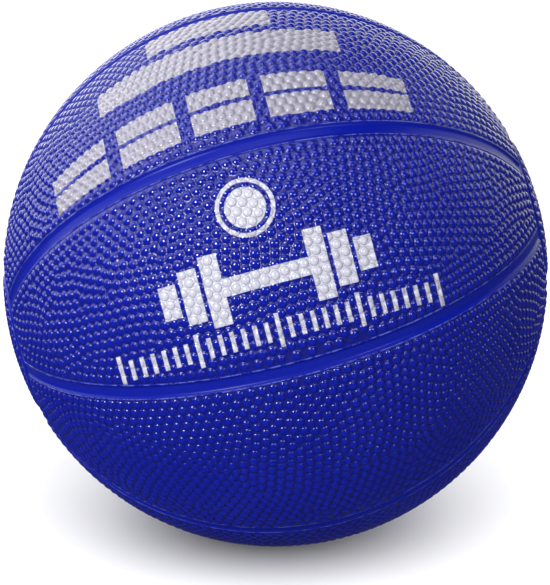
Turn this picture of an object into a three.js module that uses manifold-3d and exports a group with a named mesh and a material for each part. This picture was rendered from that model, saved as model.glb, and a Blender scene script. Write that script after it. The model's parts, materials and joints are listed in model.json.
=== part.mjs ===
// A rubber medicine ball. A pebbled cover of eight panels and two round end panels is bonded, with
// smooth seam strips between the panels, over a thick carcass, a wound nylon layer and a bladder.
// A needle valve sits in the middle of one end panel. Millimetres, +Z up, origin at the ball's centre.
import * as THREE from "three";
import { mergeVertices } from "three/addons/utils/BufferGeometryUtils.js";
import Module from "manifold-3d";

const wasm = await Module();
wasm.setup();

// Driving dimensions of the wall, from the pebble tops inwards.
const BALL_RADIUS = 107.5;
const COVER_THICKNESS = 4;
const CARCASS_THICKNESS = 15;
const WINDING_THICKNESS = 1.5;
const BLADDER_THICKNESS = 2;
const BOND_GAP = 0.3;

// The seams: eight run from end to end, and one goes round each end panel.
const PANEL_COUNT = 8;
const CHANNEL_WIDTH = 6.6;
const CHANNEL_DEPTH = 1.8;
const END_SEAM_ANGLE = radians(17);

// The valve, on the pole of one end panel.
const BOOT_RADIUS = 5.5;
const BOOT_BORE_RADIUS = 3.4;
const BOOT_FACE_DEPTH = 1.2;
const FLANGE_RADIUS = 14;
const FLANGE_THICKNESS = 1.6;
const CORE_HEAD_DEPTH = 1.6;
const CORE_TIP_LENGTH = 3;
const NEEDLE_BORE_RADIUS = 1;
const NEEDLE_BORE_DEPTH = 16;
const NEEDLE_FUNNEL_RADIUS = 1.9;
const NEEDLE_FUNNEL_DEPTH = 1.5;

// How the ball lies on the floor: the axis through the end panels rises to the right,
// and the panels are rolled about that axis.
const LIE_RISE = radians(14.2);
const LIE_YAW = radians(3.6);
const LIE_ROLL = radians(4.4);

// Facets: the cover and the carcass's outside share one grid, and the layers inside share another.
const SKIN_STEP = radians(9);
const CORE_STEP = radians(15);
const VALVE_SEGMENTS = 24;

const HALF_TURN = Math.PI;
const PANEL_ANGLE = (2 * HALF_TURN) / PANEL_COUNT;
const REACH = 2 * BALL_RADIUS;

const coverInner = BALL_RADIUS - COVER_THICKNESS;
const carcassOuter = coverInner - BOND_GAP;
const carcassInner = carcassOuter - CARCASS_THICKNESS;
const windingOuter = carcassInner - BOND_GAP;
const windingInner = windingOuter - WINDING_THICKNESS;
const bladderOuter = windingInner - BOND_GAP;
const bladderInner = bladderOuter - BLADDER_THICKNESS;
const channelFloor = BALL_RADIUS - CHANNEL_DEPTH;
const channelHalfAngle = CHANNEL_WIDTH / 2 / BALL_RADIUS;
const bondAngle = BOND_GAP / BALL_RADIUS;
const panelEnd = END_SEAM_ANGLE + channelHalfAngle;
const endPanelEdge = END_SEAM_ANGLE - channelHalfAngle;

function radians(degrees) {
  return (degrees * Math.PI) / 180;
}

function solidFrom(geometry) {
  geometry.deleteAttribute("normal");
  geometry.deleteAttribute("uv");
  const merged = mergeVertices(geometry, 1e-4);
  const mesh = new wasm.Mesh({
    numProp: 3,
    vertProperties: merged.attributes.position.array,
    triVerts: new Uint32Array(merged.index.array),
  });
  return new wasm.Manifold(mesh);
}

function geometryFrom(solid) {
  const mesh = solid.getMesh();
  const geometry = new THREE.BufferGeometry();
  geometry.setAttribute("position", new THREE.BufferAttribute(mesh.vertProperties, 3));
  geometry.setIndex(new THREE.BufferAttribute(mesh.triVerts, 1));
  geometry.computeVertexNormals();
  return geometry;
}

// Points of an arc in the lathe's half plane. Angles are measured from the valve's pole, and the
// arc stops on every line of the facet grid between its two ends.
function arc(radius, fromAngle, toAngle, step) {
  const way = Math.sign(toAngle - fromAngle);
  const angles = [fromAngle];
  const lines = Math.round(HALF_TURN / step);
  for (let i = 0; i <= lines; i += 1) {
    const angle = (way > 0 ? i : lines - i) * step;
    const inside = (angle - fromAngle) * way > 1e-6 && (toAngle - angle) * way > 1e-6;
    if (inside) angles.push(angle);
  }
  angles.push(toAngle);
  return angles.map((a) => pole(radius * Math.sin(a), radius * Math.cos(a)));
}

// A lathe point, with its distance from the pole axis and its height along it.
function pole(distance, height) {
  return new THREE.Vector2(Math.max(distance, 0), height);
}

// A solid turned about the pole axis, which is local +Z.
function turned(profile, segments) {
  const geometry = new THREE.LatheGeometry([...profile, profile[0]], segments);
  return solidFrom(geometry.rotateX(HALF_TURN / 2));
}

function shellBand(outer, inner, fromAngle, toAngle) {
  const profile = [
    ...arc(outer, toAngle, fromAngle, SKIN_STEP),
    ...arc(inner, fromAngle, toAngle, SKIN_STEP),
  ];
  return turned(profile, Math.round((2 * HALF_TURN) / SKIN_STEP));
}

function ballSolid(radius, step) {
  return turned(arc(radius, HALF_TURN, 0, step), Math.round((2 * HALF_TURN) / step));
}

function valveHole(radius) {
  const hole = new THREE.CylinderGeometry(radius, radius, BALL_RADIUS, VALVE_SEGMENTS);
  return solidFrom(hole.rotateX(HALF_TURN / 2).translate(0, 0, BALL_RADIUS));
}

// The space between one seam, along local +X, and the next: a wedge whose sides run parallel to
// the seams' middle planes.
function panelWedge() {
  const setback = CHANNEL_WIDTH / 2 / Math.sin(PANEL_ANGLE / 2);
  const outline = new THREE.Shape();
  outline.moveTo(setback, 0);
  for (const side of [-1, 1]) {
    const angle = (side * PANEL_ANGLE) / 2;
    outline.lineTo(setback + REACH * Math.cos(angle), REACH * Math.sin(angle));
  }
  const wedge = new THREE.ExtrudeGeometry(outline, { depth: REACH, bevelEnabled: false });
  return solidFrom(wedge.translate(0, 0, -REACH / 2).rotateZ(PANEL_ANGLE / 2));
}

function coverPanel() {
  const band = shellBand(BALL_RADIUS, coverInner, panelEnd, HALF_TURN - panelEnd);
  return band.intersect(panelWedge());
}

function seamStrip() {
  const band = shellBand(channelFloor, coverInner, panelEnd, HALF_TURN - panelEnd);
  const width = CHANNEL_WIDTH - 2 * BOND_GAP;
  const slab = new THREE.BoxGeometry(REACH, width, REACH);
  return band.intersect(solidFrom(slab.translate(REACH / 2, 0, 0)));
}

function seamRing() {
  const from = endPanelEdge + bondAngle;
  return shellBand(channelFloor, coverInner, from, panelEnd - bondAngle);
}

function endPanel() {
  return shellBand(BALL_RADIUS, coverInner, 0, endPanelEdge);
}

// Half of the carcass, on the valve's side of the joint between the halves.
function carcassHalf() {
  const joint = BOND_GAP / 2;
  const jointAngle = Math.acos(joint / carcassOuter);
  const dome = [...arc(carcassOuter, jointAngle, 0, SKIN_STEP), pole(0, joint)];
  const whole = turned(dome, Math.round((2 * HALF_TURN) / SKIN_STEP));
  return whole.subtract(ballSolid(carcassInner, CORE_STEP));
}

function innerLayer(outer, inner) {
  const layer = ballSolid(outer, CORE_STEP).subtract(ballSolid(inner, CORE_STEP));
  return layer.subtract(valveHole(BOOT_RADIUS + BOND_GAP));
}

// The boot's flange lies against the facet cone round the bladder's pole.
function underBladder(distance) {
  const fall = Math.tan(CORE_STEP / 2);
  return bladderInner - BOND_GAP - distance * fall;
}

function valveBoot() {
  const face = BALL_RADIUS - BOOT_FACE_DEPTH;
  const profile = [
    pole(BOOT_BORE_RADIUS, underBladder(BOOT_BORE_RADIUS) - FLANGE_THICKNESS),
    pole(FLANGE_RADIUS, underBladder(FLANGE_RADIUS) - FLANGE_THICKNESS),
    pole(FLANGE_RADIUS, underBladder(FLANGE_RADIUS)),
    pole(BOOT_RADIUS, underBladder(BOOT_RADIUS)),
    pole(BOOT_RADIUS, face),
    pole(BOOT_BORE_RADIUS, face),
  ];
  return turned(profile, VALVE_SEGMENTS);
}

function valveCore() {
  const head = BALL_RADIUS - CORE_HEAD_DEPTH;
  const tip = underBladder(0) - FLANGE_THICKNESS - CORE_TIP_LENGTH;
  const radius = BOOT_BORE_RADIUS - BOND_GAP;
  const profile = [
    pole(0, tip),
    pole(radius / 2, tip),
    pole(radius, tip + CORE_TIP_LENGTH),
    pole(radius, head),
    pole(NEEDLE_FUNNEL_RADIUS, head),
    pole(NEEDLE_BORE_RADIUS, head - NEEDLE_FUNNEL_DEPTH),
    pole(NEEDLE_BORE_RADIUS, head - NEEDLE_BORE_DEPTH),
    pole(0, head - NEEDLE_BORE_DEPTH),
  ];
  return turned(profile, VALVE_SEGMENTS);
}

function finish(color, roughness) {
  return { color, roughness, metalness: 0 };
}

const finishes = {
  cover: finish("#2430a6", 0.34),
  seam: finish("#2a38b4", 0.24),
  carcass: finish("#242426", 0.8),
  winding: finish("#d8d4c6", 0.7),
  bladder: finish("#1c1c1e", 0.55),
  boot: finish("#1e2a8c", 0.45),
  core: finish("#141416", 0.5),
};

const alongPole = new THREE.Group();

function addPiece(name, solid, look, roll = 0, flipped = false) {
  const mesh = new THREE.Mesh(geometryFrom(solid), new THREE.MeshStandardMaterial(look));
  mesh.name = name;
  mesh.rotation.set(flipped ? HALF_TURN : 0, 0, roll);
  alongPole.add(mesh);
}

const panel = coverPanel();
const strip = seamStrip();
for (let i = 0; i < PANEL_COUNT; i += 1) {
  addPiece(`cover_panel_${i + 1}`, panel, finishes.cover, i * PANEL_ANGLE);
  addPiece(`seam_strip_${i + 1}`, strip, finishes.seam, i * PANEL_ANGLE);
}

const stemHole = valveHole(BOOT_RADIUS + BOND_GAP);
addPiece("end_panel_valve", endPanel().subtract(stemHole), finishes.cover);
addPiece("end_panel_plain", endPanel(), finishes.cover, 0, true);
addPiece("seam_ring_valve", seamRing(), finishes.seam);
addPiece("seam_ring_plain", seamRing(), finishes.seam, 0, true);
addPiece("carcass_half_valve", carcassHalf().subtract(stemHole), finishes.carcass);
addPiece("carcass_half_plain", carcassHalf(), finishes.carcass, 0, true);
addPiece("nylon_winding", innerLayer(windingOuter, windingInner), finishes.winding);
addPiece("bladder", innerLayer(bladderOuter, bladderInner), finishes.bladder);
addPiece("valve_boot", valveBoot(), finishes.boot);
addPiece("valve_core", valveCore(), finishes.core);

// From the pole frame to the floor's: rolled about the pole axis, laid down to point along +X,
// raised at the valve's end, then turned about the vertical.
alongPole.rotation.z = LIE_ROLL;
const tipped = new THREE.Group();
tipped.rotation.y = HALF_TURN / 2 - LIE_RISE;
tipped.add(alongPole);
const ball = new THREE.Group();
ball.rotation.z = LIE_YAW;
ball.add(tipped);

export default ball;
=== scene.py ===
import json
import math

import bmesh
import bpy
import numpy as np
from mathutils import Matrix, Vector
from mathutils.geometry import delaunay_2d_cdt


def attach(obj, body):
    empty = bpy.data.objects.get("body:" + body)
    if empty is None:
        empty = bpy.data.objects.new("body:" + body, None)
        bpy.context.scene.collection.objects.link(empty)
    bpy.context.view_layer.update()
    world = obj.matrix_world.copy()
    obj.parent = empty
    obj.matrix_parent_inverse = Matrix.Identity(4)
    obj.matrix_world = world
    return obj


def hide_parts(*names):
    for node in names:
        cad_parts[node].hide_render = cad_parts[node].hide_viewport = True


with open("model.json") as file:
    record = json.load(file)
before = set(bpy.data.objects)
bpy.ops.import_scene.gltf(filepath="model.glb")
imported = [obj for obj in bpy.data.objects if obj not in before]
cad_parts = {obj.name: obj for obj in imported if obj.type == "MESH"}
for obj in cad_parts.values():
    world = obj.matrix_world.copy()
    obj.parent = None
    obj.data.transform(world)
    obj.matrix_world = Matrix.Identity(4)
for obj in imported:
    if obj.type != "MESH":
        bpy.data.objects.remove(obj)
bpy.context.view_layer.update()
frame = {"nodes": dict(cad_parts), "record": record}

MM = 0.001

# The cover.
BALL_RADIUS = max(v.co.length for v in frame["nodes"]["cover_panel_1"].data.vertices)
PANEL_COUNT = 8
PANEL_ANGLE = 2 * math.pi / PANEL_COUNT
COVER_THICKNESS = 4 * MM
COVER_UNDERSIDE = BALL_RADIUS - COVER_THICKNESS
SHARP_ANGLE = math.radians(76)

# The pebbles, on the cover's floor, which is its plain surface between them. Each is a dome that
# rises in steps of (inset, rise) to its tip, as parts of its radius and its height.
PEBBLE_HEIGHT = 0.74 * MM
PEBBLE_RADIUS = 1.72 * MM
PEBBLE_PITCH = 3.78 * MM
PEBBLE_SIDES = 12
DOME_STEPS = ((0.08, 0.36), (0.2, 0.34), (0.32, 0.2))
DOME_TIP = 0.1
FLOOR_RADIUS = BALL_RADIUS - PEBBLE_HEIGHT
EDGE_MARGIN = 0.15 * MM
LEAST_GAP = 0.16 * MM
LEAST_PITCH = 2.7 * MM

# How the pebbles settle. Points nearer than PUSH_REACH pitches push each other apart, each by a
# share of what is missing. Pairs up to PAIR_REACH times as far off are listed, afresh after every
# PAIR_REFRESH rounds.
SETTLING_ROUNDS = (130, 60)
PUSH_REACH = 1.12
PUSH_SHARE = 0.32
PAIR_REACH = 1.7
PAIR_REFRESH = 8
PANEL_SEED = 9
CAP_SEED = 5
# A honeycomb cell's area over its pitch squared, and the part of such cells that pebbles take up.
HONEYCOMB_CELL = 0.866
HONEYCOMB_FILL = 0.955

# The channels: a shallow trough with a thin raised bead along each side.
END_SEAM_ANGLE = math.radians(17)
CHANNEL_HALF = 3.3 * MM
BEAD_WIDTH = 0.95 * MM
BEAD_HEIGHT = 0.2 * MM
TROUGH_DEPTH = 0.75 * MM
TROUGH_FLATNESS = 5
STRIP_STEPS = 260
RING_STEPS = 640
PANEL_END_ANGLE = END_SEAM_ANGLE + CHANNEL_HALF / BALL_RADIUS
CAP_ANGLE = END_SEAM_ANGLE - CHANNEL_HALF / BALL_RADIUS
CAP_SIDES = 96

# The valve, whose boot and plug lie inside the collar of their end panel. The collar's points are
# (reach from the axis, lift over the floor) and the profiles' are (reach from the axis, height over
# the ball's middle), in millimetres.
VALVE_HOLE = 5.75 * MM
VALVE_STEPS = 96
COLLAR_SIDES = 48
COLLAR = ((7.3, 0.22), (6.9, 0.4), (6.4, 0.42), (6.0, 0.3), (5.75, -0.05))
COLLAR_FOOT = 7.6 * MM
BOOT_PROFILE = (
    (3.4, 82.0), (3.6, 80.9), (13.3, 80.5), (13.9, 81.0), (13.9, 81.7), (13.0, 82.0), (6.6, 83.0),
    (5.5, 83.7), (5.5, 104.6), (5.35, 105.9), (4.9, 106.28), (4.2, 106.28), (3.6, 106.1), (3.4, 105.5),
)
PLUG_PROFILE = (
    (0, 79.2), (1.2, 79.25), (1.9, 79.9), (3.0, 82.0), (3.1, 82.8), (3.1, 105.3), (2.9, 105.75),
    (2.5, 105.9), (2.1, 105.85), (1.6, 105.4), (1.15, 104.8), (1.0, 104.2), (1.0, 90.1), (0, 89.9),
)

# The ball's pole frame, from the valve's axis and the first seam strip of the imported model.
mounts = {m["name"]: m for m in frame["record"]["mounts"]}
pole = Vector(mounts["valve_face"]["axis"]).normalized()
strip_points = [v.co for v in frame["nodes"]["seam_strip_1"].data.vertices]
strip_middle = sum(strip_points, Vector()) / len(strip_points)
seam_way = (strip_middle - pole * strip_middle.dot(pole)).normalized()
POLE_FRAME = Matrix((seam_way, pole.cross(seam_way), pole)).transposed().to_4x4()


# ---------------------------------------------------------------- making a piece


def make_piece(name, bm, place=Matrix.Identity(4)):
    """A smooth mesh object from a bmesh in the pole frame, laid where the ball lies."""
    mesh = bpy.data.meshes.new(name)
    bm.to_mesh(mesh)
    mesh.transform(POLE_FRAME @ place)
    mesh.shade_smooth()
    mesh.set_sharp_from_angle(angle=SHARP_ANGLE)
    piece = bpy.data.objects.new(name, mesh)
    bpy.context.scene.collection.objects.link(piece)
    return piece


def fit_piece(piece, node, material):
    """The piece stands for a CAD node, rides with the ball and takes its finish."""
    piece.data.materials.append(material)
    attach(piece, "root")
    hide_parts(node)


# ---------------------------------------------------------------- the pebbles' places


def on_sphere(points, radius):
    """Points moved out or in until they are this far from the ball's middle."""
    return points * (radius / np.linalg.norm(points, axis=1))[:, None]


def with_reach(points, least, most):
    """Slides points along their meridians until they are this far from the pole's axis."""
    reach = np.linalg.norm(points[:, :2], axis=1)
    wanted = np.clip(reach, least, most)
    points[:, :2] *= (wanted / np.maximum(reach, 1e-9))[:, None]
    points[:, 2] = np.sign(points[:, 2]) * np.sqrt(FLOOR_RADIUS**2 - wanted**2)
    return points


def keep_in_panel(points, margin):
    """Moves points back between the first seam and the second, and off the end channels."""
    first = np.array([0.0, 1.0, 0.0])
    second = np.array([math.sin(PANEL_ANGLE), -math.cos(PANEL_ANGLE), 0.0])
    for inward in (first, second):
        short = np.maximum(CHANNEL_HALF + margin - points @ inward, 0)
        points = points + short[:, None] * inward
    least = FLOOR_RADIUS * math.sin(PANEL_END_ANGLE + margin / FLOOR_RADIUS)
    return with_reach(points, least, FLOOR_RADIUS)


def keep_in_cap(points, margin, hole):
    """Moves points back inside the round end panel, and off the valve's hole."""
    most = FLOOR_RADIUS * math.sin(CAP_ANGLE - margin / FLOOR_RADIUS)
    return with_reach(points, hole + margin if hole else 0, most)


def gaps_between(points):
    """How far each point is from each other one."""
    return np.linalg.norm(points[:, None] - points[None], axis=2)


def pushed_apart(points, keep_in, rounds):
    """Lets crowded points push each other apart until they lie evenly, in rows along the edges."""
    reach = PEBBLE_PITCH * PUSH_REACH
    for step in range(rounds):
        if step % PAIR_REFRESH == 0:
            one, other = np.nonzero(np.triu(gaps_between(points) < PAIR_REACH * reach, 1))
        apart = points[one] - points[other]
        gap = np.linalg.norm(apart, axis=1)
        push = PUSH_SHARE * np.maximum(reach - gap, 0) / np.maximum(gap, 1e-6)
        moves = np.zeros_like(points)
        np.add.at(moves, one, push[:, None] * apart)
        np.add.at(moves, other, -push[:, None] * apart)
        points = on_sphere(keep_in(on_sphere(points + moves, FLOOR_RADIUS)), FLOOR_RADIUS)
    return points


def settled(points, keep_in):
    """The pebbles' centres and sizes. A crowded point is dropped, and the rest close its gap."""
    for rounds in SETTLING_ROUNDS:
        points = pushed_apart(points, keep_in, rounds)
        crowded = np.triu(gaps_between(points) < LEAST_PITCH, 1).any(axis=0)
        points = points[~crowded]
    nearest = np.sort(gaps_between(points), axis=1)[:, 1]
    sizes = np.minimum(PEBBLE_RADIUS, (nearest - LEAST_GAP) / 2)
    return [Vector(p) for p in points], sizes.tolist()


def pebble_count(area):
    """How many fit, packed a little looser than a perfect honeycomb."""
    return round(HONEYCOMB_FILL * area / (HONEYCOMB_CELL * PEBBLE_PITCH**2))


def panel_pebbles():
    """Scattered over a panel, a little in from its seams, then settled."""
    seeds = np.random.default_rng(PANEL_SEED)
    reach = math.pi / 2 - PANEL_END_ANGLE
    area = PANEL_ANGLE * 2 * math.sin(reach) * FLOOR_RADIUS**2
    area -= 2 * CHANNEL_HALF * 2 * reach * FLOOR_RADIUS
    count = pebble_count(area)
    height = FLOOR_RADIUS * math.sin(reach) * seeds.uniform(-1, 1, count)
    lean = PANEL_ANGLE * seeds.uniform(0.04, 0.96, count)
    across = np.sqrt(FLOOR_RADIUS**2 - height**2)
    points = np.stack([across * np.cos(lean), across * np.sin(lean), height], axis=1)
    return settled(points, lambda p: keep_in_panel(p, PEBBLE_RADIUS + EDGE_MARGIN))


def cap_pebbles(hole):
    """Scattered over a round end panel, a little out from its middle, then settled."""
    seeds = np.random.default_rng(CAP_SEED)
    area = 2 * math.pi * (1 - math.cos(CAP_ANGLE)) * FLOOR_RADIUS**2 - math.pi * hole**2
    count = pebble_count(area)
    across = FLOOR_RADIUS * math.sin(CAP_ANGLE) * np.sqrt(seeds.uniform(0.05, 1, count))
    way = seeds.uniform(0, 2 * math.pi, count)
    height = np.sqrt(FLOOR_RADIUS**2 - across**2)
    points = np.stack([across * np.cos(way), across * np.sin(way), height], axis=1)
    return settled(points, lambda p: keep_in_cap(p, PEBBLE_RADIUS + EDGE_MARGIN, hole))


# ---------------------------------------------------------------- a pebbled panel


def circle_on_floor(centre, radius, sides):
    """Points on the floor evenly round a centre, anticlockwise seen from outside."""
    out = centre.normalized()
    start = out.orthogonal().normalized() * radius
    rim = [centre + Matrix.Rotation(2 * math.pi * i / sides, 3, out) @ start for i in range(sides)]
    return [p.normalized() * FLOOR_RADIUS for p in rim]


def plan_of(points, middle):
    """Where points lie on a flat plan, projected from opposite the panel's middle. Circles stay
    circles on it, so a net that is well shaped on the plan is well shaped on the ball."""
    east = middle.orthogonal().normalized()
    north = middle.cross(east)
    units = [p.normalized() for p in points]
    return [Vector((u.dot(east), u.dot(north))) * 2 / (1 + u.dot(middle)) for u in units]


def add_net(bm, loops, loose, middle, radius):
    """Nets the floor between an outline and the loops inside it, which stay open. Gives the
    vertices of each loop."""
    points = [p for loop in loops for p in loop]
    starts = np.cumsum([0] + [len(loop) for loop in loops]).tolist()
    outlines = [list(range(a, b)) for a, b in zip(starts, starts[1:])]
    plan = plan_of(points + loose, middle)
    net = delaunay_2d_cdt(plan, [], outlines, 1, 1e-7, True)
    came_from, triangles, owners = net[3], net[2], net[5]
    places = [(points + loose)[sources[0]] * (radius / FLOOR_RADIUS) for sources in came_from]
    verts = [bm.verts.new(p) for p in places]
    for corners, inside in zip(triangles, owners):
        if list(inside) == [0]:
            bm.faces.new([verts[c] for c in corners])
    vert_of = {sources[0]: vert for sources, vert in zip(came_from, verts)}
    return [[vert_of[i] for i in outline] for outline in outlines]


def raise_pebbles(bm, pebbles):
    """Round domes, steep at the foot."""
    for inset, rise in DOME_STEPS:
        thickness = inset * PEBBLE_RADIUS
        depth = rise * PEBBLE_HEIGHT
        bmesh.ops.inset_individual(
            bm, faces=pebbles, thickness=thickness, depth=depth, use_even_offset=True
        )
    bmesh.ops.poke(bm, faces=pebbles, offset=DOME_TIP * PEBBLE_HEIGHT)


def new_verts(grown):
    """The vertices that an extrusion made."""
    return [part for part in grown["geom"] if isinstance(part, bmesh.types.BMVert)]


def roll_collar(bm, edges):
    """Carries the sheet's inner edge over a low lip to the valve's hole."""
    for reach, lift in COLLAR:
        verts = new_verts(bmesh.ops.extrude_edge_only(bm, edges=edges))
        for v in verts:
            flat = v.co.xy.normalized() * reach * MM
            radius = FLOOR_RADIUS + lift * MM
            v.co = (flat.x, flat.y, math.sqrt(radius**2 - (reach * MM)**2))
        edges = [e for e in bm.edges if e.is_boundary and e.verts[0] in verts]


def pebbled_panel(outline, pebbles_at, middle, top_holes=(), foot_holes=()):
    """A closed panel: pebbles on its outer face, walls round its edges and a plain underside."""
    bm = bmesh.new()
    centres, sizes = pebbles_at
    discs = [circle_on_floor(c, size, PEBBLE_SIDES) for c, size in zip(centres, sizes)]
    loops = add_net(bm, [outline, *top_holes, *discs], [], middle, FLOOR_RADIUS)
    pebbles = [bm.faces.new(loop) for loop in loops[1 + len(top_holes):]]
    if top_holes:
        rim = set(loops[1])
        roll_collar(bm, [e for e in bm.edges if e.is_boundary and e.verts[0] in rim])
    edges = [e for e in bm.edges if e.is_boundary]
    for v in new_verts(bmesh.ops.extrude_edge_only(bm, edges=edges)):
        v.co = v.co.normalized() * COVER_UNDERSIDE
    add_net(bm, [outline, *foot_holes], centres, middle, COVER_UNDERSIDE)
    bmesh.ops.remove_doubles(bm, verts=bm.verts, dist=0.01 * MM)
    bmesh.ops.recalc_face_normals(bm, faces=bm.faces)
    raise_pebbles(bm, pebbles)
    return bm


def panel_outline():
    """The outline of the panel between the first seam and the second, anticlockwise."""
    reach = math.pi / 2 - PANEL_END_ANGLE
    side_steps = 150
    parts = [2 * i / side_steps - 1 for i in range(side_steps + 1)]
    rise = [math.sin(reach * part) * FLOOR_RADIUS for part in parts]
    near = math.sqrt(FLOOR_RADIUS**2 - CHANNEL_HALF**2)
    first = [Vector((math.sqrt(near**2 - z**2), CHANNEL_HALF, z)) for z in rise]
    second = [Matrix.Rotation(PANEL_ANGLE, 3, "Z") @ Vector((p.x, -p.y, p.z)) for p in first]
    across = FLOOR_RADIUS * math.sin(PANEL_END_ANGLE)
    start = math.atan2(first[0].y, first[0].x)
    end_steps = 9
    leans = [start + (PANEL_ANGLE - 2 * start) * i / end_steps for i in range(1, end_steps)]
    foot = [Vector((across * math.cos(a), across * math.sin(a), rise[0])) for a in leans]
    head = [Vector((p.x, p.y, -p.z)) for p in reversed(foot)]
    return foot + second + head + first[::-1]


# ---------------------------------------------------------------- channels and turned pieces


def rows_between(start, end, count):
    """Evenly spaced numbers from start to end, both included."""
    return [start + (end - start) * i / count for i in range(count + 1)]


def channel_height(from_seam):
    """How far the channel's skin stands over the floor, this far from the middle of a seam."""
    trough = CHANNEL_HALF - BEAD_WIDTH
    if from_seam < trough:
        return -TROUGH_DEPTH * (1 - (from_seam / trough) ** TROUGH_FLATNESS)
    if from_seam < CHANNEL_HALF:
        return BEAD_HEIGHT * math.sin(math.pi * (from_seam - trough) / BEAD_WIDTH)
    return 0.0


# Places across a channel, close together over its beads, and half the width of its underside.
OUTWARD = [u * MM for u in (0.45, 0.9, 1.4, 1.8, 2.1, 2.35, 2.52, 2.69, 2.82, 2.95, 3.13, 3.3)]
ACROSS = [-u for u in reversed(OUTWARD)] + [0.0] + OUTWARD
CHANNEL_FOOT = 3.1 * MM


def closed_profile(bm, points):
    """A loop of edges through points."""
    verts = [bm.verts.new(p) for p in points]
    return [bm.edges.new(pair) for pair in zip(verts, verts[1:] + verts[:1])]


def seam_strip():
    """The channel's skin between two panels, run along the meridian through X."""
    bm = bmesh.new()
    top = [(u, FLOOR_RADIUS + channel_height(abs(u))) for u in ACROSS]
    foot = [(u, COVER_UNDERSIDE) for u in rows_between(CHANNEL_FOOT, -CHANNEL_FOOT, 4)]
    profile = [Vector((math.sqrt(r**2 - u**2), u, 0)) for u, r in top + foot]
    reach = math.pi / 2 - PANEL_END_ANGLE
    start = Matrix.Rotation(reach, 3, "Y")
    edges = closed_profile(bm, [start @ p for p in profile])
    first = list(bm.verts)
    swept = bmesh.ops.spin(
        bm, geom=first + edges, cent=(0, 0, 0), axis=(0, 1, 0), angle=-2 * reach, steps=STRIP_STEPS
    )
    last = [part for part in swept["geom_last"] if isinstance(part, bmesh.types.BMVert)]
    for verts, side in ((first, -1), (last, 1)):
        for v in verts:
            radius = v.co.length
            out = radius * math.sin(PANEL_END_ANGLE)
            v.co = (math.sqrt(out**2 - v.co.y**2), v.co.y, side * radius * math.cos(PANEL_END_ANGLE))
    bmesh.ops.holes_fill(bm, edges=[e for e in bm.edges if e.is_boundary])
    bmesh.ops.recalc_face_normals(bm, faces=bm.faces)
    return bm


def seam_ring():
    """The channel's skin round an end panel, into which the eight seams run."""
    bm = bmesh.new()
    foot = rows_between(CHANNEL_FOOT, -CHANNEL_FOOT, 4)
    profile = [(s, FLOOR_RADIUS) for s in ACROSS] + [(s, COVER_UNDERSIDE) for s in foot]
    points = []
    for s, radius in profile:
        angle = END_SEAM_ANGLE + s / BALL_RADIUS
        points.append(Vector((math.sin(angle), 0, math.cos(angle))) * radius)
    edges = closed_profile(bm, points)
    bmesh.ops.spin(
        bm, geom=list(bm.verts) + edges, cent=(0, 0, 0), axis=(0, 0, 1), angle=2 * math.pi,
        steps=RING_STEPS, use_merge=True,
    )
    for v in bm.verts:
        if v.co.length > FLOOR_RADIUS - MM:
            s = (v.co.angle(Vector((0, 0, 1))) - END_SEAM_ANGLE) * BALL_RADIUS
            nearest = abs(s)
            if s > 0:
                way = math.atan2(v.co.y, v.co.x) % PANEL_ANGLE
                off = min(way, PANEL_ANGLE - way)
                nearest = min(nearest, math.hypot(v.co.x, v.co.y) * math.sin(off))
            v.co = v.co.normalized() * (FLOOR_RADIUS + channel_height(nearest))
    bmesh.ops.recalc_face_normals(bm, faces=bm.faces)
    return bm


def turned_piece(profile):
    """A solid turned round the pole from (reach, height) pairs in millimetres."""
    bm = bmesh.new()
    points = [Vector((reach, 0, height)) * MM for reach, height in profile]
    edges = closed_profile(bm, points)
    if profile[0][0] == 0:
        bm.edges.remove(edges.pop())
    bmesh.ops.spin(
        bm, geom=list(bm.verts) + edges, cent=(0, 0, 0), axis=(0, 0, 1), angle=2 * math.pi,
        steps=VALVE_STEPS, use_merge=True,
    )
    bmesh.ops.remove_doubles(bm, verts=bm.verts, dist=0.001 * MM)
    bmesh.ops.recalc_face_normals(bm, faces=bm.faces)
    return bm


def ring_round_pole(angle, count):
    """Points on the floor round the pole, anticlockwise seen from outside."""
    out = Vector((math.sin(angle), 0, math.cos(angle))) * FLOOR_RADIUS
    return [Matrix.Rotation(2 * math.pi * i / count, 3, "Z") @ out for i in range(count)]


# ---------------------------------------------------------------- shader nodes


def add_node(tree, kind, inputs=None, **settings):
    """A node with its settings, and its sockets either set or fed from other sockets."""
    made = tree.nodes.new(kind)
    for name, value in settings.items():
        setattr(made, name, value)
    for key, value in (inputs or {}).items():
        if isinstance(value, bpy.types.NodeSocket):
            tree.links.new(value, made.inputs[key])
        else:
            made.inputs[key].default_value = value
    return made


def calc(tree, operation, *values, clamp=False):
    """The result of one step of sums."""
    sockets = dict(enumerate(values))
    return add_node(tree, "ShaderNodeMath", sockets, operation=operation, use_clamp=clamp).outputs[0]


def remap(tree, value, from_low, from_high, to_low, to_high):
    """A value carried from one range to another, and held at that range's ends."""
    sockets = {
        "Value": value, "From Min": from_low, "From Max": from_high, "To Min": to_low,
        "To Max": to_high,
    }
    return add_node(tree, "ShaderNodeMapRange", sockets).outputs[0]


def blend_colour(tree, factor, first, second):
    """From the first colour to the second, by the Mix node's numbered colour sockets."""
    sockets = {0: factor, 6: first, 7: second}
    return add_node(tree, "ShaderNodeMix", sockets, data_type="RGBA").outputs[2]


def blend_value(tree, factor, first, second):
    """From the first value to the second, by the Mix node's numbered value sockets."""
    return add_node(tree, "ShaderNodeMix", {0: factor, 2: first, 3: second}).outputs[0]


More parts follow.
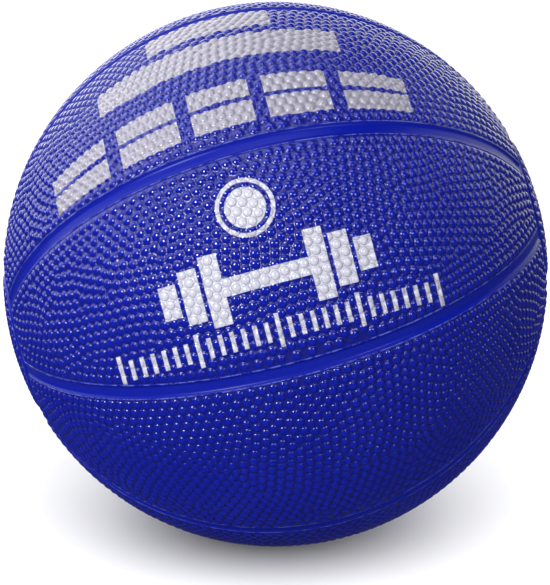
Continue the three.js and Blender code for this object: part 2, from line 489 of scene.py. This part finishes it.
def new_group(name, inputs, outputs):
    """An empty node group, with its (name, kind, default) inputs and (name, kind) outputs."""
    tree = bpy.data.node_groups.new(name, "ShaderNodeTree")
    for label, kind, default in inputs:
        socket = tree.interface.new_socket(label, in_out="INPUT", socket_type=kind)
        if default is not None:
            socket.default_value = default
    for label, kind in outputs:
        tree.interface.new_socket(label, in_out="OUTPUT", socket_type=kind)
    return tree, tree.nodes.new("NodeGroupInput").outputs, tree.nodes.new("NodeGroupOutput").inputs


def use_group(tree, group, inputs):
    """A group placed in a tree. Gives its outputs."""
    return add_node(tree, "ShaderNodeGroup", inputs, node_tree=group).outputs


VECTOR, FLOAT, COLOUR = "NodeSocketVector", "NodeSocketFloat", "NodeSocketColor"
# How much a mask rises over a millimetre, so that its edge is a quarter of a millimetre wide.
EDGE_SLOPE = 4.0


def fine_grain_group():
    """The mould's matt grain, fine noise on broad noise, as a height in millimetres."""
    inputs = [("Place", VECTOR, None), ("Size", FLOAT, 1.0), ("Depth", FLOAT, 0.02)]
    tree, given, out = new_group("fine_grain", inputs, [("Height", FLOAT)])
    scale = calc(tree, "DIVIDE", 1 / MM, given["Size"])
    fine = add_node(tree, "ShaderNodeTexNoise", {"Vector": given["Place"], "Scale": scale})
    fine.inputs["Detail"].default_value = 3
    broad = add_node(tree, "ShaderNodeTexNoise", {"Vector": given["Place"]})
    tree.links.new(calc(tree, "MULTIPLY", scale, 0.22), broad.inputs["Scale"])
    both = calc(tree, "ADD", fine.outputs[0], broad.outputs[0])
    tree.links.new(calc(tree, "MULTIPLY", both, given["Depth"]), out["Height"])
    return tree


def drift_group():
    """A slow change over the surface, from Low to High."""
    inputs = [("Place", VECTOR, None), ("Size", FLOAT, 20.0), ("Low", FLOAT, 0.0), ("High", FLOAT, 1.0)]
    tree, given, out = new_group("slow_drift", inputs, [("Value", FLOAT)])
    scale = calc(tree, "DIVIDE", 1 / MM, given["Size"])
    noise = add_node(tree, "ShaderNodeTexNoise", {"Vector": given["Place"], "Scale": scale})
    noise.inputs["Detail"].default_value = 4
    tree.links.new(remap(tree, noise.outputs[0], 0.3, 0.7, given["Low"], given["High"]), out["Value"])
    return tree


def lift_group():
    """How far a point stands over the cover's floor, in millimetres."""
    tree, given, out = new_group("lift", [("Place", VECTOR, None)], [("Lift", FLOAT)])
    length = add_node(tree, "ShaderNodeVectorMath", {0: given["Place"]}, operation="LENGTH")
    over = calc(tree, "SUBTRACT", length.outputs["Value"], FLOOR_RADIUS)
    tree.links.new(calc(tree, "DIVIDE", over, MM), out["Lift"])
    return tree


def bar_group():
    """A plain bar with soft edges, on a plan in millimetres."""
    inputs = [(n, FLOAT, 0.0) for n in ("X", "Y", "Middle X", "Middle Y", "Half X", "Half Y")]
    tree, given, out = new_group("plain_bar", inputs, [("Mask", FLOAT)])
    sides = []
    for axis in ("X", "Y"):
        off = calc(tree, "SUBTRACT", given[axis], given["Middle " + axis])
        inside = calc(tree, "SUBTRACT", given["Half " + axis], calc(tree, "ABSOLUTE", off))
        sides.append(calc(tree, "MULTIPLY_ADD", inside, EDGE_SLOPE, 0.5, clamp=True))
    tree.links.new(calc(tree, "MULTIPLY", *sides), out["Mask"])
    return tree


def disc_group():
    """A plain disc with a soft edge, on a plan in millimetres."""
    inputs = [(n, FLOAT, 0.0) for n in ("X", "Y", "Middle X", "Middle Y", "Radius")]
    tree, given, out = new_group("plain_disc", inputs, [("Mask", FLOAT)])
    off = [calc(tree, "SUBTRACT", given[axis], given["Middle " + axis]) for axis in ("X", "Y")]
    squares = [calc(tree, "MULTIPLY", value, value) for value in off]
    away = calc(tree, "SQRT", calc(tree, "ADD", *squares))
    inside = calc(tree, "SUBTRACT", given["Radius"], away)
    tree.links.new(calc(tree, "MULTIPLY_ADD", inside, EDGE_SLOPE, 0.5, clamp=True), out["Mask"])
    return tree


def rubber_group():
    """Coloured moulded rubber: its colour goes to Deep in the recesses and to Crown on the pebbles'
    crowns, which on the pebbled panels is painted shade in the recesses and painted light on the
    crowns. Duller in the recesses, with a slow drift of tone.
    """
    inputs = [
        ("Place", VECTOR, None),
        ("Deep", COLOUR, None), ("Main", COLOUR, None), ("Crown", COLOUR, None),
        ("Gloss", FLOAT, 0.3), ("Dull", FLOAT, 0.45),
    ]
    outputs = [("Color", COLOUR), ("Roughness", FLOAT), ("Lift", FLOAT)]
    tree, given, out = new_group("moulded_rubber", inputs, outputs)
    lift = use_group(tree, LIFT, {"Place": given["Place"]})["Lift"]
    drift = use_group(tree, DRIFT, {"Place": given["Place"], "Size": 26.0})["Value"]
    # Painted shade: the colour goes deeper in the recesses. Painted light: it goes paler on the crowns.
    low = blend_colour(tree, remap(tree, lift, -0.2, 0.4, 0, 1), given["Deep"], given["Main"])
    high = calc(tree, "MULTIPLY", remap(tree, lift, 0.4, 0.75, 0, 1), drift)
    tree.links.new(blend_colour(tree, high, low, given["Crown"]), out["Color"])
    up = remap(tree, lift, 0.0, 0.45, 0, 1)
    rough = blend_value(tree, up, given["Dull"], given["Gloss"])
    tree.links.new(calc(tree, "MULTIPLY_ADD", drift, 0.05, rough), out["Roughness"])
    tree.links.new(lift, out["Lift"])
    return tree


GRAIN, DRIFT, LIFT = fine_grain_group(), drift_group(), lift_group()
BAR, DISC = bar_group(), disc_group()
RUBBER = rubber_group()


# ---------------------------------------------------------------- materials

# Painted shade, for the recesses between the pebbles.
RECESS_SHADE_BLUE = (0.0005, 0.003, 0.12, 1)
ROYAL_BLUE = (0.0007, 0.0051, 0.204, 1)
# Painted light, for the pebbles' crowns.
CROWN_LIGHT_BLUE = (0.0012, 0.008, 0.26, 1)
SEAM_BLUE = (0.0008, 0.0062, 0.222, 1)
# A painted highlight, for the channels' beads.
BEAD_HIGHLIGHT_BLUE = (0.075, 0.095, 0.42, 1)
SILVER_INK = (0.28, 0.27, 0.32, 1)
WHITE_INK = (0.43, 0.43, 0.48, 1)
SEAM_SPECULAR = 0.14
# Ink is thinnest on a pebble's foot, this many millimetres over the floor, which paints a dark ring of
# shade round each pebble.
FOOT_SHADE_RING_AT = 0.13


def new_material(name, colour):
    """A material with its Principled shader, and the object's own coordinates."""
    material = bpy.data.materials.new(name)
    material.use_nodes = True
    material.diffuse_color = colour
    tree = material.node_tree
    shader = tree.nodes["Principled BSDF"]
    place = add_node(tree, "ShaderNodeTexCoord").outputs["Object"]
    return material, tree, shader, place


def grain_height(tree, place, size, depth):
    """The grain's height, for grains about this size and this deep, in millimetres."""
    return use_group(tree, GRAIN, {"Place": place, "Size": size, "Depth": depth})["Height"]


def give_relief(tree, shader, height):
    """Turns the shader's normals by a height in millimetres."""
    bump = add_node(tree, "ShaderNodeBump", {"Height": height, "Strength": 1.0, "Distance": MM})
    tree.links.new(bump.outputs["Normal"], shader.inputs["Normal"])


def pebbled_rubber(name="blue_pebbled_rubber"):
    """Glossy moulded rubber, duller between its pebbles. Gives its nodes too, for a print to use."""
    material, tree, shader, place = new_material(name, ROYAL_BLUE)
    # The skin's colour has painted shade in the recesses between pebbles and painted light on their
    # crowns.
    skin = use_group(tree, RUBBER, {
        "Place": place, "Deep": RECESS_SHADE_BLUE, "Main": ROYAL_BLUE, "Crown": CROWN_LIGHT_BLUE,
        "Gloss": 0.12, "Dull": 0.24,
    })
    tree.links.new(skin["Color"], shader.inputs["Base Color"])
    tree.links.new(skin["Roughness"], shader.inputs["Roughness"])
    give_relief(tree, shader, grain_height(tree, place, 0.35, 0.008))
    return material, tree, shader, place, skin


def seam_rubber():
    """Smooth rubber, with the crinkled flash of the mould's joint along its beads in relief, and a
    painted highlight of paler blue in broken patches along the beads.
    """
    material, tree, shader, place = new_material("blue_seam_rubber", SEAM_BLUE)
    skin = use_group(tree, RUBBER, {
        "Place": place, "Deep": SEAM_BLUE, "Main": ROYAL_BLUE, "Crown": CROWN_LIGHT_BLUE,
        "Gloss": 0.3, "Dull": 0.3,
    })
    tree.links.new(skin["Roughness"], shader.inputs["Roughness"])
    shader.inputs["Specular IOR Level"].default_value = SEAM_SPECULAR
    on_bead = remap(tree, skin["Lift"], 0.06, 0.18, 0, 1)
    broken = remap(tree, grain_height(tree, place, 0.9, 1.0), 0.88, 1.12, 0, 1)
    # Painted highlight: paler blue in broken patches along the beads.
    bead_highlight = calc(tree, "MULTIPLY", on_bead, broken)
    tree.links.new(blend_colour(tree, bead_highlight, skin["Color"], BEAD_HIGHLIGHT_BLUE), shader.inputs["Base Color"])
    crinkle = calc(tree, "MULTIPLY", on_bead, grain_height(tree, place, 1.1, 0.22))
    give_relief(tree, shader, calc(tree, "ADD", grain_height(tree, place, 0.9, 0.006), crinkle))
    return material


def panel_plan(tree, place, panel):
    """Where a point lies over a panel, in millimetres: along the pole, up from the panel's middle
    meridian, and out."""
    lean = (panel - 0.5) * PANEL_ANGLE
    along = POLE_FRAME.to_3x3() @ Vector((0, 0, 1))
    up = POLE_FRAME.to_3x3() @ Vector((math.sin(lean), -math.cos(lean), 0))
    out = POLE_FRAME.to_3x3() @ Vector((math.cos(lean), math.sin(lean), 0))
    turned = Matrix((along, up, out)).to_euler()
    mapped = add_node(tree, "ShaderNodeMapping", {"Vector": place, "Rotation": turned})
    mapped.inputs["Scale"].default_value = (1 / MM,) * 3
    return add_node(tree, "ShaderNodeSeparateXYZ", {0: mapped.outputs[0]}).outputs


def join_masks(tree, masks):
    """One mask that covers all that any of them covers."""
    joined = masks[0]
    for mask in masks[1:]:
        joined = calc(tree, "MAXIMUM", joined, mask)
    return joined


def bar(tree, x, y, middle, half):
    """The mask of a bar, from its middle and half its width and height."""
    sockets = {
        "X": x, "Y": y, "Middle X": middle[0], "Middle Y": middle[1], "Half X": half[0],
        "Half Y": half[1],
    }
    return use_group(tree, BAR, sockets)["Mask"]


def disc(tree, x, y, middle, radius):
    """The mask of a disc."""
    sockets = {"X": x, "Y": y, "Middle X": middle[0], "Middle Y": middle[1], "Radius": radius}
    return use_group(tree, DISC, sockets)["Mask"]


def exercise_print(tree, place):
    """A disc in a ring, a plain dumbbell, and a scale of ticks with every seventh one long."""
    x, y, out = panel_plan(tree, place, 6)
    middle = (-4.4, 18.7)
    ring = calc(tree, "SUBTRACT", disc(tree, x, y, middle, 10.7), disc(tree, x, y, middle, 9.2))
    masks = [ring, disc(tree, x, y, middle, 7.4)]

    bell_x, bell_y = -3.0, -7.0
    masks.append(bar(tree, x, y, (bell_x, bell_y), (18.0, 3.2)))
    for reach, half_width, half_height in ((19.0, 3.4, 12.8), (27.4, 3.4, 9.6), (35.6, 3.2, 6.0)):
        for side in (-1, 1):
            plate = (bell_x + side * reach, bell_y)
            masks.append(bar(tree, x, y, plate, (half_width, half_height)))

    scale_x, scale_y = -3.5, -26.0
    tick_pitch = 4.2
    span = bar(tree, x, y, (scale_x, scale_y), (14.6 * tick_pitch, 8.0))
    from_middle = calc(tree, "SUBTRACT", x, scale_x)
    for half_pitch, half_height in ((tick_pitch / 2, 3.6), (tick_pitch * 7 / 2, 6.0)):
        from_tick = calc(tree, "WRAP", from_middle, half_pitch, -half_pitch)
        ticks = bar(tree, from_tick, y, (0.0, scale_y), (0.8, half_height))
        masks.append(calc(tree, "MULTIPLY", ticks, span))
    return join_masks(tree, masks), out


def slab_print(tree, place):
    """Five paired slabs in a row along the seam, under a long band and a shorter one."""
    x, y, out = panel_plan(tree, place, 5)
    up = calc(tree, "MULTIPLY", calc(tree, "ARCTAN2", y, out), BALL_RADIUS / MM)
    slab_pitch = 28.0
    masks = []
    for step in range(-2, 3):
        slab_x = -4.0 + slab_pitch * step
        for slab_y, half_height in ((-28.5, 4.9), (-17.2, 4.2)):
            masks.append(bar(tree, x, up, (slab_x, slab_y), (11.4, half_height)))
    masks.append(bar(tree, x, up, (-2.0, 8.0), (46.0, 8.0)))
    masks.append(bar(tree, x, up, (-2.0, 31.0), (24.0, 9.0)))
    return join_masks(tree, masks), out


def printed_rubber(name, make_print, ink, metal, rough, shaded_foot_cover):
    """The cover's rubber with a print over it, thin round the foot of each pebble, which paints a dark
    ring of shade there. The print is kept to the panel's own side of the ball, and the last argument is
    how much ink the feet hold, so how dark that painted shade is."""
    material, tree, shader, place, skin = pebbled_rubber(name)
    mask, out = make_print(tree, place)
    mask = calc(tree, "MULTIPLY", mask, calc(tree, "GREATER_THAN", out, 0.0))
    # Painted shade: the ink thins round each pebble's foot, so the blue shows through as a dark ring.
    off_foot = calc(tree, "ABSOLUTE", calc(tree, "SUBTRACT", skin["Lift"], FOOT_SHADE_RING_AT))
    foot_ring_shade = remap(tree, off_foot, 0.02, FOOT_SHADE_RING_AT, shaded_foot_cover, 1.0)
    patchy = use_group(tree, DRIFT, {"Place": place, "Size": 1.6, "Low": 0.86, "High": 1.0})["Value"]
    cover = calc(tree, "MULTIPLY", mask, calc(tree, "MULTIPLY", foot_ring_shade, patchy))
    tree.links.new(blend_colour(tree, cover, skin["Color"], ink), shader.inputs["Base Color"])
    tree.links.new(calc(tree, "MULTIPLY", cover, metal), shader.inputs["Metallic"])
    tree.links.new(blend_value(tree, cover, skin["Roughness"], rough), shader.inputs["Roughness"])
    return material


def dark_rubber(name, colour, pale, rough, grain_size, grain_depth):
    """Plain black or blue moulded rubber, with a slow drift of shade."""
    material, tree, shader, place = new_material(name, colour)
    drift = use_group(tree, DRIFT, {"Place": place, "Size": 9.0})["Value"]
    tree.links.new(blend_colour(tree, drift, colour, pale), shader.inputs["Base Color"])
    tree.links.new(calc(tree, "MULTIPLY_ADD", drift, 0.1, rough), shader.inputs["Roughness"])
    give_relief(tree, shader, grain_height(tree, place, grain_size, grain_depth))
    return material


def wound_yarn():
    """Nylon yarn wound over the bladder in crossing turns, set in rubber cement."""
    pale = (0.68, 0.66, 0.58, 1)
    shade = (0.42, 0.39, 0.32, 1)
    material, tree, shader, place = new_material("wound_nylon_yarn", pale)
    heights = []
    for lean in (0.5, -0.5, 1.4):
        turned = add_node(tree, "ShaderNodeMapping", {"Vector": place, "Rotation": (lean, lean, 0.3)})
        turns = add_node(tree, "ShaderNodeTexWave", {"Vector": turned.outputs[0], "Scale": 260.0})
        turns.inputs["Distortion"].default_value = 1.4
        heights.append(turns.outputs["Fac"])
    height = join_masks(tree, heights)
    # Painted shade: the yarn is darker in the hollows between its turns.
    tree.links.new(blend_colour(tree, height, shade, pale), shader.inputs["Base Color"])
    tree.links.new(remap(tree, height, 0, 1, 0.75, 0.5), shader.inputs["Roughness"])
    bump = add_node(tree, "ShaderNodeBump", {"Height": height, "Strength": 0.8, "Distance": 0.4 * MM})
    tree.links.new(bump.outputs["Normal"], shader.inputs["Normal"])
    return material


plain_panel = pebbled_rubber()[0]
channel_skin = seam_rubber()
printed = {
    6: printed_rubber(
        "blue_rubber_white_print", exercise_print, WHITE_INK, metal=0.0, rough=0.24, shaded_foot_cover=0.22
    ),
    5: printed_rubber(
        "blue_rubber_silver_print", slab_print, SILVER_INK, metal=0.2, rough=0.3, shaded_foot_cover=0.95
    ),
}
boot_rubber = dark_rubber(
    "blue_valve_rubber", (0.006, 0.009, 0.14, 1), (0.009, 0.013, 0.2, 1),
    rough=0.38, grain_size=0.6, grain_depth=0.02,
)
plug_rubber = dark_rubber(
    "black_plug_rubber", (0.008, 0.008, 0.009, 1), (0.02, 0.02, 0.022, 1),
    rough=0.42, grain_size=0.5, grain_depth=0.02,
)
wall_rubber = dark_rubber(
    "black_wall_rubber", (0.012, 0.012, 0.013, 1), (0.03, 0.029, 0.028, 1),
    rough=0.6, grain_size=1.8, grain_depth=0.08,
)
butyl = dark_rubber(
    "black_butyl", (0.01, 0.01, 0.011, 1), (0.02, 0.02, 0.022, 1),
    rough=0.4, grain_size=1.2, grain_depth=0.03,
)
yarn = wound_yarn()


# ---------------------------------------------------------------- the ball

panel_middle = Vector((math.cos(PANEL_ANGLE / 2), math.sin(PANEL_ANGLE / 2), 0))
panel_shape = pebbled_panel(panel_outline(), panel_pebbles(), panel_middle)
strip_shape = seam_strip()
for i in range(PANEL_COUNT):
    place = Matrix.Rotation(i * PANEL_ANGLE, 4, "Z")
    number = str(i + 1)
    panel = make_piece("pebbled_panel_" + number, panel_shape, place)
    fit_piece(panel, "cover_panel_" + number, printed.get(i + 1, plain_panel))
    strip = make_piece("channel_" + number, strip_shape, place)
    fit_piece(strip, "seam_strip_" + number, channel_skin)

ring_shape = seam_ring()
up_pole = Vector((0, 0, 1))
cap_outline = ring_round_pole(CAP_ANGLE, CAP_SIDES)
collar_foot = ring_round_pole(math.asin(COLLAR_FOOT / FLOOR_RADIUS), COLLAR_SIDES)
hole_radius = FLOOR_RADIUS + COLLAR[-1][1] * MM
valve_hole = ring_round_pole(math.asin(VALVE_HOLE / hole_radius), COLLAR_SIDES)
valve_cap = pebbled_panel(
    cap_outline, cap_pebbles(COLLAR_FOOT), up_pole, [collar_foot], [valve_hole]
)
plain_cap = pebbled_panel(cap_outline, cap_pebbles(0), up_pole)
for end, cap, place in (
    ("valve", valve_cap, Matrix.Identity(4)),
    ("plain", plain_cap, Matrix.Rotation(math.pi, 4, "X")),
):
    fit_piece(make_piece("pebbled_end_" + end, cap, place), "end_panel_" + end, plain_panel)
    ring = make_piece("channel_ring_" + end, ring_shape, place)
    fit_piece(ring, "seam_ring_" + end, channel_skin)

boot = make_piece("valve_bush", turned_piece(BOOT_PROFILE))
fit_piece(boot, "valve_boot", boot_rubber)
plug = make_piece("valve_plug", turned_piece(PLUG_PROFILE))
fit_piece(plug, "valve_core", plug_rubber)

for node, material in (
    ("carcass_half_valve", wall_rubber), ("carcass_half_plain", wall_rubber),
    ("nylon_winding", yarn), ("bladder", butyl),
):
    frame["nodes"][node].data.materials.clear()
    frame["nodes"][node].data.materials.append(material)


# ---------------------------------------------------------------- floor, light and camera

BALL_MIDDLE = Vector((0, 0, 0))
# The paper's colour to the camera, and its darker colour to the light it throws back at the ball.
PAPER_SEEN = (0.78, 0.78, 0.79, 1)
PAPER_BOUNCE = (0.52, 0.52, 0.54, 1)
PAPER_HALF = 6
ROOM_LIGHT = 0.075

floor_bm = bmesh.new()
bmesh.ops.create_grid(floor_bm, x_segments=2, y_segments=2, size=PAPER_HALF)
bmesh.ops.translate(floor_bm, verts=floor_bm.verts, vec=(0, 0, -BALL_RADIUS))
floor_mesh = bpy.data.meshes.new("floor")
floor_bm.to_mesh(floor_mesh)
floor = bpy.data.objects.new("floor", floor_mesh)
bpy.context.scene.collection.objects.link(floor)
paper, paper_tree, paper_shader = new_material("pale_floor", PAPER_SEEN)[:3]
seen = add_node(paper_tree, "ShaderNodeLightPath").outputs["Is Camera Ray"]
paper_colour = blend_colour(paper_tree, seen, PAPER_BOUNCE, PAPER_SEEN)
paper_tree.links.new(paper_colour, paper_shader.inputs["Base Color"])
paper_shader.inputs["Roughness"].default_value = 1.0
paper_shader.inputs["Specular IOR Level"].default_value = 0.0
floor.data.materials.append(paper)
floor.visible_glossy = False

world = bpy.data.worlds.new("soft_room")
world.use_nodes = True
world.node_tree.nodes["Background"].inputs["Color"].default_value = (1, 1, 1, 1)
world.node_tree.nodes["Background"].inputs["Strength"].default_value = ROOM_LIGHT
bpy.context.scene.world = world

# Lamps on the ball, whose light leaves the paper alone.
subject = bpy.data.collections.new("all_but_the_paper")
subject.objects.link(floor)
subject.collection_objects[0].light_linking.link_state = "EXCLUDE"
# The paper has its own wash of light from all round, as in a studio.
papers = bpy.data.collections.new("the_paper")
papers.objects.link(floor)


def lamp_at(name, azimuth, rise, distance, size, glow, lit):
    """A soft panel facing the ball, which lights only what it is given. Azimuth 0 is the camera's
    side and 90 is to its right. Glow is the panel's own brightness, where 1 shows as plain white."""
    azimuth, rise = math.radians(azimuth), math.radians(rise)
    way = (math.sin(azimuth) * math.cos(rise), -math.cos(azimuth) * math.cos(rise), math.sin(rise))
    panel_light = bpy.data.lights.new(name, "AREA")
    panel_light.shape = "RECTANGLE"
    panel_light.size, panel_light.size_y = size
    panel_light.energy = glow * math.pi * size[0] * size[1]
    lamp = bpy.data.objects.new(name, panel_light)
    lamp.location = Vector(way) * distance
    lamp.rotation_mode = "QUATERNION"
    lamp.rotation_quaternion = (BALL_MIDDLE - lamp.location).to_track_quat("-Z", "Y")
    lamp.light_linking.receiver_collection = lit
    bpy.context.scene.collection.objects.link(lamp)


lamp_at("key_left", -34, 26, 1.5, (0.36, 0.36), 56, subject)
lamp_at("key_right", 28, 22, 1.5, (0.3, 0.3), 24, subject)
lamp_at("key_top", -10, 74, 1.5, (0.9, 0.8), 2.6, subject)
lamp_at("backdrop", 180, 20, 2.4, (3.2, 2.0), 2.2, subject)
lamp_at("rim_left", -118, 38, 1.8, (2.4, 2.4), 2.3, subject)
lamp_at("rim_right", 124, 26, 1.8, (1.5, 1.5), 1.45, subject)
lamp_at("wash_top", 0, 90, 2.4, (2.8, 2.8), 1.05, papers)
for azimuth, glow in ((0, 5.8), (90, 0.86), (180, 1.2), (270, 0.86)):
    lamp_at("wash_" + str(azimuth), azimuth, 34, 2.4, (3.4, 2.9), glow, papers)

CAMERA_RISE = math.radians(14)
CAMERA_DISTANCE = 8.43 * BALL_RADIUS
CAMERA_SENSOR = 36
CAMERA_LENS = 140.5
CAMERA_SHIFT = (-0.0008, -0.0317)
camera = bpy.data.objects.new("camera", bpy.data.cameras.new("camera"))
bpy.context.scene.collection.objects.link(camera)
back = Vector((0, -math.cos(CAMERA_RISE), math.sin(CAMERA_RISE)))
camera.location = back * CAMERA_DISTANCE
camera.rotation_mode = "QUATERNION"
camera.rotation_quaternion = (-back).to_track_quat("-Z", "Y")
camera.data.sensor_width = CAMERA_SENSOR
camera.data.lens = CAMERA_LENS
camera.data.shift_x, camera.data.shift_y = CAMERA_SHIFT
bpy.context.scene.camera = camera
bpy.context.scene.view_settings.view_transform = "Standard"
